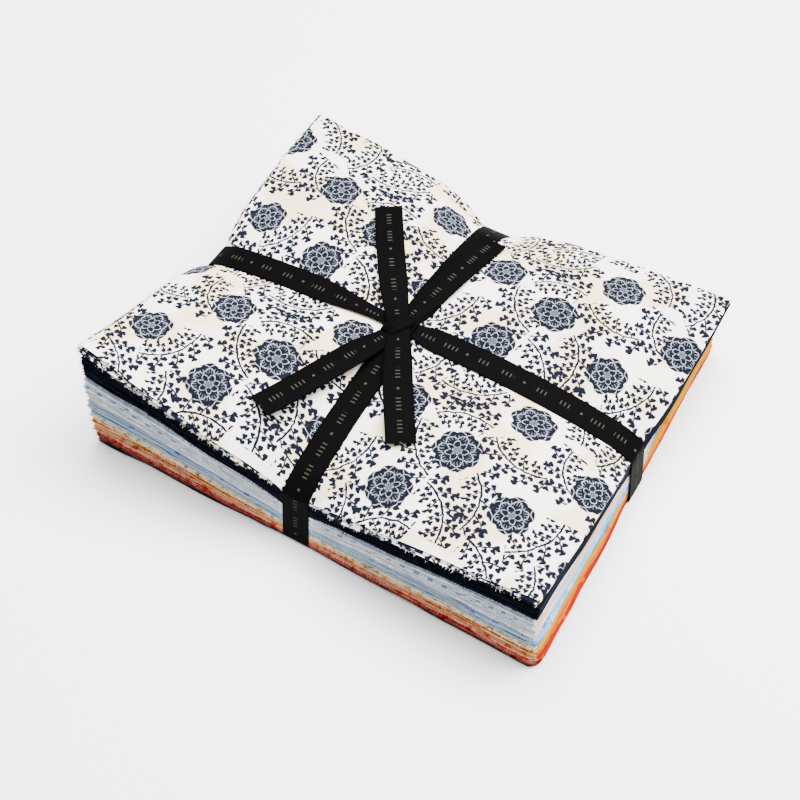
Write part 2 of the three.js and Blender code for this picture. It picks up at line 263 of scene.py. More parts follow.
def make_object(name, vertices, faces, materials, uv, face_material=None):
    mesh = bpy.data.meshes.new(name)
    mesh.vertices.add(len(vertices))
    mesh.vertices.foreach_set("co", (np.asarray(vertices, float) * MM).astype(np.float32).ravel())
    faces = np.asarray(faces, np.int32)
    mesh.loops.add(faces.size)
    mesh.loops.foreach_set("vertex_index", faces.ravel())
    mesh.polygons.add(len(faces))
    mesh.polygons.foreach_set("loop_start", np.arange(0, faces.size, faces.shape[1], dtype=np.int32))
    mesh.update(calc_edges=True)
    layer = mesh.uv_layers.new(name="UVMap")
    layer.data.foreach_set("uv", np.asarray(uv, np.float32)[faces.ravel()].ravel())
    for material in materials:
        mesh.materials.append(material)
    if face_material is not None:
        mesh.polygons.foreach_set("material_index", np.asarray(face_material, np.int32))
    mesh.shade_smooth()
    mesh.set_sharp_from_angle(angle=math.radians(40))
    mesh.validate()
    thing = bpy.data.objects.new(name, mesh)
    bpy.context.scene.collection.objects.link(thing)
    return thing


def sheet_mesh(inner, outer, closed=False):
    """Closed faces around two point grids [row, column], the two sides of a sheet.
    Returns the vertices, the faces and 0, 1 or 2 for the inner side, outer side and cut edges."""
    rows, columns = inner.shape[:2]
    number = np.arange(rows * columns).reshape(rows, columns)
    if closed:
        number = np.vstack([number, number[:1]])
    far = number + rows * columns

    def quads(a, b, c, d):
        return np.stack([a, b, c, d], -1).reshape(-1, 4)

    faces = [quads(number[:-1, :-1], number[1:, :-1], number[1:, 1:], number[:-1, 1:])]
    faces.append(quads(far[:-1, :-1], far[:-1, 1:], far[1:, 1:], far[1:, :-1]))
    rims = [quads(number[:-1, 0], far[:-1, 0], far[1:, 0], number[1:, 0])]
    rims.append(quads(number[:-1, -1], number[1:, -1], far[1:, -1], far[:-1, -1]))
    if not closed:
        rims.append(quads(number[0, :-1], number[0, 1:], far[0, 1:], far[0, :-1]))
        rims.append(quads(number[-1, :-1], far[-1, :-1], far[-1, 1:], number[-1, 1:]))
    faces.append(np.concatenate(rims))
    kinds = np.concatenate([np.full(len(part), kind) for kind, part in enumerate(faces)])
    vertices = np.concatenate([inner.reshape(-1, 3), outer.reshape(-1, 3)])
    return vertices, np.concatenate(faces), kinds


# One fat quarter: a sheet folded in half towards the back, then in half to the round turn at +X.

def lines(low, high, step, strap):
    """Grid lines from rim to rim, closer at the rims and beside the strap."""
    even = np.linspace(low, high, max(2, round((high - low) / step)) + 1)
    near = [strap + side * d for side in (-1, 1) for d in (FLAT_HALF, FLAT_HALF + 2.5, 15.0, 20.0)]
    rim = [low + 1.0, low + 3.0, high - 1.0, high - 3.0]
    keep = [v for v in even if min(abs(v - n) for n in near + rim) > 0.3 * step or v in (low, high)]
    return np.array(sorted(keep + near + rim))


def seam(number):
    """The uneven boundary between a fat quarter and the one below it, as a share of a layer."""
    if number in (0, COUNT):
        return lambda x, y: 0.0 * x
    uneven = waves(np.random.default_rng(SEED + 500 + number), (60.0, 170.0))
    return lambda x, y: 0.3 * uneven(x, y)


def fold_grid(step, turn_steps):
    """A cloth's grid, from its first cut end round both folds to its last: where each point would
    lie between the rims, its angle round the turn at +X and its angle round the fold at the back."""
    xs = lines(-LONG_SIDE / 2, LONG_SIDE / 2, step, SHORT_STRAP_X)
    ys = lines(-SHORT_SIDE / 2, SHORT_SIDE / 2, step, LONG_STRAP_Y)
    turn = np.linspace(0.0, 1.0, turn_steps + 2)[1:-1]
    x = np.concatenate([xs, np.full(turn_steps, xs[-1]), xs[::-1]])
    y = np.concatenate([ys, np.full(turn_steps, ys[-1]), ys[::-1]])
    phi = np.concatenate([np.zeros(len(xs)), turn, np.ones(len(xs))]) * math.pi - math.pi / 2
    psi = np.concatenate([np.zeros(len(ys)), turn, np.ones(len(ys))]) * math.pi
    flat_x, flat_y = (grid.astype(float) for grid in np.meshgrid(x, y, indexing="ij"))
    phi, psi = np.meshgrid(phi, psi, indexing="ij")
    return flat_x, flat_y, phi, psi


def plan_places(number, flat_x, flat_y, phi, psi):
    """Where the points lie seen from above: the cut ends are uneven, the folds wander and stand
    out, and all of it is drawn in beside the straps."""
    rng = np.random.default_rng(SEED + 100 + number)
    low, high = (np.array(corner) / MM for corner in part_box(QUARTERS[number]))
    slack = {
        "left": min(-LONG_SIDE / 2 - low[0], 0.3),
        "right": min(high[0] - LONG_SIDE / 2, 0.0),
        "front": min(-SHORT_SIDE / 2 - low[1], 0.3),
        "back": min(high[1] - SHORT_SIDE / 2, 0.0),
    }
    upper_share, inner_share = (1 + np.sin(phi)) / 2, (1 - np.cos(psi)) / 2
    wobble = [waves(rng, WANDER_LENGTHS) for _ in range(6)]
    loose = rng.uniform(*OTHER_ENDS, 4) if number < COUNT - 1 else TOP_ENDS
    ends = [loose[n] + WANDER["end"] * wobble[n](flat_x, flat_y) for n in range(4)]
    raw = mix(mix(ends[0], ends[1], upper_share), mix(ends[2], ends[3], upper_share), inner_share)
    fold_x, fold_y = (WANDER["fold"] * wobble[n](flat_x, flat_y) for n in (4, 5))
    levels = [row["level"] for row in STAND_OUT]
    at = (number + 0.5) / COUNT
    front, back = (np.interp(at, levels, [row[end] for row in STAND_OUT]) for end in ("front", "back"))
    fold_x = fold_x + mix(front, back, smooth(flat_y / FRONT_TO_BACK + 0.5))
    level = level_of(number + 0.5)
    pull_x, pull_y = pinch(flat_y - strap_y(flat_x)), pinch(flat_x - SHORT_STRAP_X)

    def near(distance):
        return smooth(1 - distance / GIVE)

    def out(side, stray, pull):
        return (slack[side] + stray) * (1 - pull) - DRAWN_IN[side] * level * pull

    x = flat_x - near(flat_x + LONG_SIDE / 2) * out("left", raw, pull_x)
    x = x + near(LONG_SIDE / 2 - flat_x) * (out("right", fold_x, pull_x) - TURN_ROOM["right"])
    y = flat_y - near(flat_y + SHORT_SIDE / 2) * out("front", raw, pull_y)
    y = y + near(SHORT_SIDE / 2 - flat_y) * (out("back", fold_y, pull_y) - TURN_ROOM["back"])
    return x, y


def folded_quarter(number, step, turn_steps):
    """Returns the printed, outer side and the bare, inner side of the folded cloth as point grids,
    and the unfolded place of each point."""
    flat_x, flat_y, phi, psi = fold_grid(step, turn_steps)
    x, y = plan_places(number, flat_x, flat_y, phi, psi)
    in_turn, in_fold = np.abs(phi) < QUARTER_TURN, np.abs(psi - math.pi / 2) < QUARTER_TURN
    layer = level_of(number + 1) - level_of(number)
    below, above = seam(number)(x, y), 1 + seam(number + 1)(x, y)
    pitch = (top_height(x, y) - under_height(x, y)) * layer * (above - below)
    cloth = 1 - CLOTH_APART / pitch
    half = np.minimum(0.5 * CLOTH / pitch, MOST_HALF)
    grids = []
    # Four layers lie at 1/8, 3/8, 5/8 and 7/8 of the height: the fold at the back turns at 1/8
    # round the middle of each pair, and the turn at +X at 1/4 round the middle of all.
    for side in (1, -1):
        round_it = 0.125 + side * half
        turned = 0.25 + round_it * np.cos(psi)
        share = 0.5 + turned * np.sin(phi)
        bulge_x = turned * pitch * np.cos(phi) * in_turn
        bulge_y = round_it * pitch * np.sin(psi) * in_fold
        at = level_of(number) + layer * mix(below, above, cloth * share)
        z = stack_height(x, y, at)
        place_x, place_y = leaned(x + bulge_x, y + bulge_y, at)
        grids.append(np.stack([place_x, place_y, z], -1))
    u = np.where(phi > 0, LONG_SIDE - flat_x, flat_x) + FOLD_TAKES["right"] * np.sin(phi)
    v = np.where(psi > math.pi / 2, SHORT_SIDE - flat_y, flat_y) - FOLD_TAKES["back"] * np.cos(psi)
    return grids[0], grids[1], np.stack([u, v], -1)


# Materials.

MATH = "ShaderNodeMath"
VECTOR_MATH = "ShaderNodeVectorMath"
MIX = "ShaderNodeMix"
# The colour sockets of a Mix node: three inputs and an output.
SHARE, UNDER, OVER, MIXED = 0, 6, 7, 2
# The threads are 0.4 mm apart, drawn at this pitch so that they show.
WEAVE_PITCH = 0.9
UNEVENNESS = 0.07


def linear(code):
    """An sRGB hex colour as the linear RGBA that the shader nodes take."""
    parts = [int(code[n:n + 2], 16) / 255 for n in (1, 3, 5)]
    return tuple(c / 12.92 if c <= 0.04045 else ((c + 0.055) / 1.055) ** 2.4 for c in parts) + (1.0,)


def add(tree, kind, *values, inputs=None, output=0, **settings):
    """Adds a node with its settings, and sets or links its inputs: values go into its first ones,
    and inputs names others. Returns one of its outputs, or the node itself where output is None."""
    made = tree.nodes.new(kind)
    for key, value in settings.items():
        setattr(made, key, value)
    for key, value in {**dict(enumerate(values)), **(inputs or {})}.items():
        if isinstance(value, bpy.types.NodeSocket):
            tree.links.new(value, made.inputs[key])
        else:
            made.inputs[key].default_value = value
    return made if output is None else made.outputs[output]


def either(tree, *marks):
    """Where at least one of the marks is."""
    found = marks[0]
    for mark in marks[1:]:
        found = add(tree, MATH, found, mark, operation="MAXIMUM")
    return found


def both(tree, mark, other):
    """Where both marks are."""
    return add(tree, MATH, mark, other, operation="MULTIPLY")


def new_material(name, roughness, gloss=0.25):
    material = bpy.data.materials.new(name)
    material.use_nodes = True
    tree = material.node_tree
    tree.nodes.clear()
    finish = {"Roughness": roughness, "Specular IOR Level": gloss}
    shader = add(tree, "ShaderNodeBsdfPrincipled", inputs=finish, output=None)
    add(tree, "ShaderNodeOutputMaterial", shader.outputs[0], output=None)
    return material, tree, shader


def painted(tree, ground, *layers):
    """A ground colour with layers of paint over it, each a mark and its colour."""
    colour = linear(ground)
    for mark, paint in layers:
        laid = {SHARE: mark, UNDER: colour, OVER: linear(paint)}
        colour = add(tree, MIX, inputs=laid, output=MIXED, data_type="RGBA")
    return colour


def flat_place(tree):
    """Where a point lies on the flat cloth, in millimetres."""
    return add(tree, "ShaderNodeUVMap", output="UV", uv_map="UVMap")


def edge_of(tree, distance, width, soft=0.15):
    """1 where a distance is under the width, with a soft edge, all in millimetres."""
    ends = {"From Min": width - soft, "From Max": width + soft, "To Min": 1.0, "To Max": 0.0}
    return add(tree, "ShaderNodeMapRange", distance, inputs=ends)


def wrapped(tree, place, centre, period, turn=0.0):
    """The place as seen from the nearest repeat of a motif, turned to the motif's own heading."""
    from_centre = add(tree, VECTOR_MATH, place, (centre[0], centre[1], 0.0), operation="SUBTRACT")
    half = (period / 2, period / 2, 1.0)
    near = add(tree, VECTOR_MATH, from_centre, half, tuple(-h for h in half), operation="WRAP")
    if turn == 0.0:
        return near
    turned = {"Vector": near, "Angle": turn}
    return add(tree, "ShaderNodeVectorRotate", inputs=turned, rotation_type="Z_AXIS")


def weave(tree, place, shader):
    """Plain weave, with the slight thick and thin of its yarns."""
    threads = []
    for way in add(tree, "ShaderNodeSeparateXYZ", place, output=None).outputs[:2]:
        thread = add(tree, MATH, way, 2 * math.pi / WEAVE_PITCH, operation="MULTIPLY")
        threads.append(add(tree, MATH, thread, operation="SINE"))
    height = add(tree, MATH, *threads, operation="MULTIPLY")
    slub = {"Vector": place, "Scale": 0.6, "Detail": 3.0}
    slub = add(tree, "ShaderNodeTexNoise", inputs=slub, output="Fac")
    height = add(tree, MATH, slub, 1.4, height, operation="MULTIPLY_ADD")
    relief = {"Height": height, "Strength": 0.12, "Distance": 0.0002}
    tree.links.new(add(tree, "ShaderNodeBump", inputs=relief), shader.inputs["Normal"])


def shaded(tree, place, colour):
    """Slight unevenness of dyed or printed cotton, in patches of 30 mm and less."""
    patches = {"Vector": place, "Scale": 0.035, "Detail": 5.0}
    patches = add(tree, "ShaderNodeTexNoise", inputs=patches, output="Fac")
    tones = {"From Min": 0.3, "From Max": 0.7, "To Min": 1 - UNEVENNESS, "To Max": 1.0}
    tone = add(tree, "ShaderNodeMapRange", patches, inputs=tones)
    laid = {SHARE: 1.0, UNDER: colour, OVER: add(tree, "ShaderNodeCombineColor", tone, tone, tone)}
    return add(tree, MIX, inputs=laid, output=MIXED, data_type="RGBA", blend_type="MULTIPLY")


# Small all-over prints of the cloths inside the stack, each worked out from its repeat.

def dots(tree, place, pitch):
    distances = []
    for centre in ((0.0, 0.0), (pitch / 2, pitch / 2)):
        near = wrapped(tree, place, centre, pitch)
        distances.append(add(tree, VECTOR_MATH, near, output="Value", operation="LENGTH"))
    return edge_of(tree, add(tree, MATH, *distances, operation="MINIMUM"), 0.17 * pitch)


def stripes(tree, place, pitch):
    across = add(tree, "ShaderNodeSeparateXYZ", place)
    off = add(tree, MATH, across, pitch / 2, -pitch / 2, operation="WRAP")
    return edge_of(tree, add(tree, MATH, off, operation="ABSOLUTE"), 0.18 * pitch)


def leaves(tree, place, pitch):
    cells = {"Vector": place, "Scale": 1 / pitch, "Randomness": 0.8}
    return edge_of(tree, add(tree, "ShaderNodeTexVoronoi", inputs=cells, output="Distance"), 0.3, 0.06)


def plain(tree, place, pitch):
    mottling = {"Vector": place, "Scale": 1 / pitch, "Detail": 4.0}
    return edge_of(tree, add(tree, "ShaderNodeTexNoise", inputs=mottling, output="Fac"), 0.42, 0.1)


PRINTS = {"dots": dots, "stripes": stripes, "leaves": leaves, "plain": plain}

# Each row: ground, print, raw edge, kind of print and its repeat in millimetres.
COTTONS = {
    "forest": ("#0A0F12", "#1C2A30", "#141C20", "leaves", 7.0),
    "garnet": ("#560307", "#3A0204", "#7A4038", "plain", 9.0),
    "poppy": ("#7C0502", "#A02C1C", "#A65648", "dots", 9.0),
    "brick": ("#921A02", "#C05420", "#C27E66", "leaves", 8.0),
    "coral": ("#AA3E00", "#C47010", "#D29C82", "stripes", 8.0),
    "amber": ("#B05000", "#5A2A00", "#C49464", "dots", 6.5),
    "mustard": ("#B46400", "#844200", "#D2A878", "leaves", 7.0),
    "straw": ("#BC7A00", "#A45E00", "#DCC8A2", "leaves", 9.0),
    "dotted": ("#E6DCCC", "#0C1B40", "#D8C8AE", "dots", 7.5),
    "teal": ("#3484A8", "#145A80", "#9AA49C", "plain", 9.0),
    "sky": ("#5CA4CC", "#A4CCE2", "#98A8A8", "plain", 8.0),
    "lavender": ("#8C9CC4", "#4C60A8", "#96A4A8", "leaves", 7.0),
    "mist": ("#A8BCCA", "#7E9AB8", "#98A6AE", "leaves", 7.0),
    "chalk": ("#DADEE0", "#B8C2CC", "#B6BCC0", "plain", 9.0),
    "blush": ("#E2D6D0", "#CCA492", "#BCB2AE", "stripes", 9.0),
    "pearl": ("#D6DCE2", "#8090A6", "#ACB4BC", "stripes", 8.0),
    "silver": ("#C4CED8", "#6C8098", "#A8B2BE", "dots", 6.0),
    "frost": ("#DCE2E6", "#687E9C", "#B0B8C2", "leaves", 8.0),
    "indigo": ("#080C1A", "#1A2644", "#0C1122", "leaves", 8.0),
    "ink": ("#060A14", "#18213A", "#090E1A", "dots", 8.0),
    "navy": ("#05080F", "#0C1222", "#080C16", "plain", 8.0),
    "raven": ("#04060A", "#0E1420", "#070A10", "stripes", 7.0),
    "midnight": ("#050912", "#121B30", "#080C16", "leaves", 7.0),
    "cream": ("#F6F2E8", "#080D1C", "#CFCDC8", "plain", 9.0),
}


def cotton(name):
    """Quilting cotton, a matt plain weave: its print, and the frayed yarn ends of its raw edges."""
    ground, ink, edge, kind, repeat = COTTONS[name]
    material, tree, shader = new_material("quilting_cotton_" + name, 0.9, 0.08)
    place = flat_place(tree)
    if name == "cream":
        colour = blossom_print(tree, place, ground, ink)
    else:
        colour = painted(tree, ground, (PRINTS[kind](tree, place, repeat), ink))
    tree.links.new(shaded(tree, place, colour), shader.inputs["Base Color"])
    weave(tree, place, shader)

    # The bare side and the cut yarn ends are paler; the dye comes through in marks of 2 to 6 mm.
    raw, tree, shader = new_material("raw_cotton_edge_" + name, 0.95, 0.04)
    marks = {"Vector": add(tree, "ShaderNodeTexCoord", output="Object"), "Scale": 260.0, "Detail": 2.0}
    marks = add(tree, "ShaderNodeTexNoise", inputs=marks, output="Fac")
    low, high = (0.40, 0.50) if name == "cream" else (0.50, 0.66)
    marks = add(tree, "ShaderNodeMapRange", marks, inputs={"From Min": low, "From Max": high})
    dye = ink if name in ("cream", "dotted", "amber") else ground
    tree.links.new(painted(tree, edge, (marks, dye)), shader.inputs["Base Color"])
    return material, raw


# The print of the top cloth: round layered blossoms and bent leafy sprigs, in a square repeat.
REPEAT = 108.0
BLOSSOMS = [
    {"x": 16, "y": 16, "radius": 12.0, "petals": 7, "turn": 0.3},
    {"x": 62, "y": 30, "radius": 11.0, "petals": 6, "turn": 1.1},
    {"x": 104, "y": 50, "radius": 12.5, "petals": 7, "turn": 0.7},
    {"x": 34, "y": 66, "radius": 11.5, "petals": 6, "turn": 0.0},
    {"x": 80, "y": 88, "radius": 12.0, "petals": 7, "turn": 0.5},
]
# x and y: the middle of the stem. away: the heading from its arc's centre to there, in degrees.
SPRIGS = [
    {"x": 93, "y": 16, "away": 144, "radius": 29, "half": 19},
    {"x": 7, "y": 87, "away": 248, "radius": 27, "half": 19},
    {"x": 41, "y": 22, "away": 211, "radius": 28, "half": 19},
    {"x": 32, "y": 100, "away": 184, "radius": 23, "half": 19},
    {"x": 76, "y": 57, "away": 283, "radius": 25, "half": 19},
    {"x": 60, "y": 107, "away": 139, "radius": 27, "half": 18},
    {"x": 3, "y": 73, "away": 77, "radius": 27, "half": 16},
    {"x": 16, "y": 42, "away": 325, "radius": 32, "half": 19},
    {"x": 53, "y": 68, "away": 333, "radius": 22, "half": 17},
    {"x": 79, "y": 28, "away": 166, "radius": 28, "half": 18},
    {"x": 9, "y": 0, "away": 74, "radius": 28, "half": 15},
]
# A blossom's rings of petals lie a step apart, RING_STEPS of them in its radius, and each waves in
# and out by SCALLOP of a step. STROKE, STEM and TWIG: half a line's width, and its soft edge.
RING_STEPS = 3.6
SCALLOP = 0.75
STROKE = (0.19, 0.12)
# A sprig's twigs: their pitch along the stem, how far they lean forward for each millimetre out,
# how far out they reach, the rows of leaves beside them, and how far out the leaf at the tip is.
TWIG_PITCH = 8.8
SLANT = 0.6
TWIG_LENGTH = 8.2
LEAF_ROW = 3.5
FIRST_LEAF = 2.8
LEAF_BESIDE = 2.0
LEAVES_FROM, LEAVES_TO = 1.05, 8.05
TIP = 8.9
STEM = (0.6, 0.14)
TWIG = (0.5, 0.14)


def polar(tree, near):
    """Returns the distance from a motif's own origin, and the angle round it."""
    split = add(tree, "ShaderNodeSeparateXYZ", near, output=None).outputs
    distance = add(tree, VECTOR_MATH, near, output="Value", operation="LENGTH")
    return distance, add(tree, MATH, split["Y"], split["X"], operation="ARCTAN2")


def blossom(tree, place, row):
    """Returns where the blossom is, and where the pale strokes of its petal rings are."""
    near = wrapped(tree, place, (row["x"], row["y"]), REPEAT, row["turn"])
    radius, angle = polar(tree, near)
    spread = add(tree, MATH, angle, row["petals"] / 2, operation="MULTIPLY")
    step = row["radius"] / RING_STEPS
    rings = []
    for kind, start in (("SINE", 0.0), ("COSINE", step)):
        scallop = add(tree, MATH, add(tree, MATH, spread, operation=kind), operation="ABSOLUTE")
        ring = add(tree, MATH, radius, start, operation="SUBTRACT")
        ring = add(tree, MATH, scallop, -SCALLOP * step, ring, operation="MULTIPLY_ADD")
        ring = add(tree, MATH, ring, step, -step, operation="WRAP")
        rings.append(edge_of(tree, add(tree, MATH, ring, operation="ABSOLUTE"), *STROKE))
    hatch = add(tree, MATH, angle, 5.0 * row["petals"], operation="MULTIPLY")
    hatch = add(tree, MATH, add(tree, MATH, hatch, operation="SINE"), 0.8, operation="GREATER_THAN")
    inside = add(tree, MATH, radius, 2 * step, 0.0, operation="WRAP")
    hatch = both(tree, hatch, edge_of(tree, inside, 0.8 * step))
    faint = add(tree, MATH, hatch, 0.35, operation="MULTIPLY")
    strokes = either(tree, either(tree, *rings), faint)
    outline = add(tree, MATH, add(tree, MATH, spread, operation="SINE"), operation="ABSOLUTE")
    outline = add(tree, MATH, outline, -1.6, radius, operation="MULTIPLY_ADD")
    return edge_of(tree, outline, row["radius"] - 1.0, 0.25), strokes


def trefoil(tree, x, y):
    """Where a three-lobed leaf of about 3 mm lies round x = y = 0."""
    square = add(tree, MATH, y, y, operation="MULTIPLY")
    square = add(tree, MATH, x, x, square, operation="MULTIPLY_ADD")
    size = add(tree, MATH, square, operation="SQRT")
    lobe = add(tree, MATH, y, x, operation="ARCTAN2")
    lobe = add(tree, MATH, lobe, 1.5, operation="MULTIPLY")
    lobe = add(tree, MATH, add(tree, MATH, lobe, operation="COSINE"), operation="ABSOLUTE")
    return edge_of(tree, add(tree, MATH, lobe, -0.5, size, operation="MULTIPLY_ADD"), 1.14, 0.16)


def sprig(tree, place, row):
    """Returns where a sprig's stem, slanting twigs and three-lobed leaves are."""
    away, bend = math.radians(row["away"]), float(row["radius"])
    centre = (row["x"] - bend * math.cos(away), row["y"] - bend * math.sin(away))
    radius, angle = polar(tree, wrapped(tree, place, centre, REPEAT, -away))
    off = add(tree, MATH, radius, bend, operation="SUBTRACT")
    out = add(tree, MATH, off, operation="ABSOLUTE")
    along = add(tree, MATH, angle, bend, operation="MULTIPLY")

    # Twigs stand on both sides of the stem, by turns.
    side = add(tree, MATH, off, operation="SIGN")
    slanted = add(tree, MATH, out, -SLANT, along, operation="MULTIPLY_ADD")
    slanted = add(tree, MATH, side, TWIG_PITCH / 4, slanted, operation="MULTIPLY_ADD")
    twig_off = add(tree, MATH, slanted, TWIG_PITCH / 2, -TWIG_PITCH / 2, operation="WRAP")
    from_twig = add(tree, MATH, twig_off, operation="ABSOLUTE")
    twig = both(tree, edge_of(tree, from_twig, *TWIG), edge_of(tree, out, TWIG_LENGTH, 0.2))

    # Leaves stand in rows on both sides of each twig, and one on its tip.
    beyond = add(tree, MATH, out, FIRST_LEAF, operation="SUBTRACT")
    beyond = add(tree, MATH, beyond, LEAF_ROW / 2, -LEAF_ROW / 2, operation="WRAP")
    side = add(tree, MATH, twig_off, operation="SIGN")
    beside = add(tree, MATH, side, -LEAF_BESIDE, twig_off, operation="MULTIPLY_ADD")
    leaf = trefoil(tree, add(tree, MATH, beyond, SLANT, beside, operation="MULTIPLY_ADD"), beyond)
    past = add(tree, MATH, out, LEAVES_FROM, operation="GREATER_THAN")
    short = add(tree, MATH, out, LEAVES_TO, operation="LESS_THAN")
    leaf = both(tree, leaf, both(tree, past, short))
    tip = add(tree, MATH, out, TIP, operation="SUBTRACT")
    tip = trefoil(tree, add(tree, MATH, tip, SLANT, twig_off, operation="MULTIPLY_ADD"), tip)

    stem = edge_of(tree, out, *STEM)
    drawn = either(tree, either(tree, stem, twig), either(tree, leaf, tip))
    along = add(tree, MATH, along, operation="ABSOLUTE")
    return both(tree, drawn, edge_of(tree, along, float(row["half"]), 0.2))


def blossom_print(tree, place, ground, ink):
    """Hand-drawn looking: every line wanders by half a millimetre."""
    wander = {"Vector": place, "Scale": 0.25, "Detail": 2.0}
    wander = add(tree, "ShaderNodeTexNoise", inputs=wander, output="Color")
    wander = add(tree, VECTOR_MATH, wander, (0.5, 0.5, 0.5), operation="SUBTRACT")
    place = add(tree, VECTOR_MATH, wander, (2.2, 2.2, 0.0), place, operation="MULTIPLY_ADD")
    heads, strokes = [], []
    for row in BLOSSOMS:
        head, rings = blossom(tree, place, row)
        heads.append(head)
        strokes.append(both(tree, head, rings))
    sprigs = [sprig(tree, place, row) for row in SPRIGS]
    pale = add(tree, MATH, either(tree, *strokes), 0.9, operation="MULTIPLY")
    patches = {"Vector": place, "Scale": 0.028, "Detail": 1.0}
    patches = add(tree, "ShaderNodeTexNoise", inputs=patches, output="Fac")
    beige = add(tree, "ShaderNodeMapRange", patches, inputs={"From Min": 0.5, "From Max": 0.57})
    drawn = [(either(tree, *sprigs), ink), (either(tree, *heads), "#0A0D17"), (pale, "#A9B1BE")]
    return painted(tree, ground, (beige, "#E8D6B4"), *drawn)


# The ribbon's pattern, in millimetres: a dot at every repeat, and short bars between the dots.
# DOT, BAR and BAR_ACROSS: half a width, and its soft edge.
RIBBON_REPEAT = 34.0
DOT = (0.7, 0.2)
BAR_PITCH = 2.3
BAR = (0.28, 0.12)
BAR_ACROSS = (1.3, 0.15)
BARS_FROM, BARS_TO = 6.0, 14.0
RIB_PITCH = 0.8
BOUND_EDGE = 0.9


def ribbon_material():
    """Woven polyester ribbon: matt black, fine cross ribs, bound edges, a small pale gold print."""
    material, tree, shader = new_material("woven_black_ribbon", 0.6, 0.01)
    split = add(tree, "ShaderNodeSeparateXYZ", flat_place(tree), output=None).outputs
    along, across = split["X"], split["Y"]
    off = add(tree, MATH, across, operation="ABSOLUTE")
    step = add(tree, MATH, along, RIBBON_REPEAT / 2, -RIBBON_REPEAT / 2, operation="WRAP")
    square = add(tree, MATH, step, step, operation="MULTIPLY")
    square = add(tree, MATH, across, across, square, operation="MULTIPLY_ADD")
    dot = edge_of(tree, add(tree, MATH, square, operation="SQRT"), *DOT)
    bars = add(tree, MATH, along, BAR_PITCH / 2, -BAR_PITCH / 2, operation="WRAP")
    bars = edge_of(tree, add(tree, MATH, bars, operation="ABSOLUTE"), *BAR)
    bars = both(tree, bars, edge_of(tree, off, *BAR_ACROSS))
    away = add(tree, MATH, step, operation="ABSOLUTE")
    past = add(tree, MATH, away, BARS_FROM, operation="GREATER_THAN")
    short = add(tree, MATH, away, BARS_TO, operation="LESS_THAN")
    bars = both(tree, bars, both(tree, past, short))
    gold = add(tree, MATH, either(tree, dot, bars), 0.6, operation="MULTIPLY")
    inside = edge_of(tree, off, RIBBON_WIDTH / 2 - BOUND_EDGE, 0.1)
    colour = painted(tree, "#020202", (inside, "#040404"), (gold, "#484438"))
    tree.links.new(colour, shader.inputs["Base Color"])
    ribs = add(tree, MATH, along, 2 * math.pi / RIB_PITCH, operation="MULTIPLY")
    ribs = add(tree, MATH, ribs, operation="SINE")
    relief = {"Height": ribs, "Strength": 0.15, "Distance": 0.0001}
    tree.links.new(add(tree, "ShaderNodeBump", inputs=relief), shader.inputs["Normal"])
    return material


RIBBON = ribbon_material()


# Frayed yarn ends along the raw edges, worked out by Geometry Nodes.

def fray_group():
    """Stands tapered yarn ends along edge lines, each about its own outward heading."""
    group = bpy.data.node_groups.new("frayed_yarn_ends", "GeometryNodeTree")
    for name, kind in (
        ("Edge Lines", "NodeSocketGeometry"),
        ("Spacing", "NodeSocketFloat"),
        ("Shortest", "NodeSocketFloat"),
        ("Longest", "NodeSocketFloat"),
        ("Yarn Radius", "NodeSocketFloat"),
        ("Seed", "NodeSocketInt"),
        ("Yarn", "NodeSocketMaterial"),
    ):
        group.interface.new_socket(name, in_out="INPUT", socket_type=kind)
    group.interface.new_socket("Yarn Ends", in_out="OUTPUT", socket_type="NodeSocketGeometry")
    given = add(group, "NodeGroupInput", output=None).outputs
    curve = add(group, "GeometryNodeMeshToCurve", inputs={"Mesh": given["Edge Lines"]})
    evenly = {"Curve": curve, "Length": given["Spacing"]}
    evenly = add(group, "GeometryNodeCurveToPoints", inputs=evenly, output="Points", mode="LENGTH")
    name = {"Name": "out"}
    out = add(group, "GeometryNodeInputNamedAttribute", inputs=name, data_type="FLOAT_VECTOR")
    stray = {0: (-0.8, -0.8, -0.7), 1: (0.8, 0.8, 0.45), "Seed": given["Seed"]}
    stray = add(group, "FunctionNodeRandomValue", inputs=stray, data_type="FLOAT_VECTOR")
    heading = add(group, VECTOR_MATH, out, stray, operation="ADD")
    turned = add(group, "FunctionNodeAlignRotationToVector", inputs={"Vector": heading}, axis="Z")
    length = {2: given["Shortest"], 3: given["Longest"], "Seed": given["Seed"]}
    length = add(group, "FunctionNodeRandomValue", inputs=length, output=1)
    thick = given["Yarn Radius"]
    size = add(group, "ShaderNodeCombineXYZ", thick, thick, length)
    taper = {"Vertices": 3, "Radius Top": 0.35, "Radius Bottom": 1.0, "Depth": 1.0}
    yarn = add(group, "GeometryNodeMeshCone", inputs=taper, output="Mesh", fill_type="NONE")
    placed = {"Points": evenly, "Instance": yarn, "Rotation": turned, "Scale": size}
    placed = add(group, "GeometryNodeInstanceOnPoints", inputs=placed)
    real = add(group, "GeometryNodeRealizeInstances", inputs={"Geometry": placed})
    painted = {"Geometry": real, "Material": given["Yarn"]}
    painted = add(group, "GeometryNodeSetMaterial", inputs=painted)
    add(group, "NodeGroupOutput", painted, output=None)
    return group


FRAY = fray_group()


def run_nodes(thing, group, values):
    """Runs a node group on an object, and gives the object the plain mesh that comes out."""
    modifier = thing.modifiers.new("nodes", "NODES")
    modifier.node_group = group
    for item in group.interface.items_tree:
        if item.item_type == "SOCKET" and item.in_out == "INPUT" and item.name in values:
            modifier[item.identifier] = values[item.name]
    bpy.context.view_layer.update()
    shown = thing.evaluated_get(bpy.context.evaluated_depsgraph_get())
    mesh = bpy.data.meshes.new_from_object(shown)
    mesh.name = thing.name
    thing.modifiers.remove(modifier)
    old = thing.data
    thing.data = mesh
    bpy.data.meshes.remove(old)


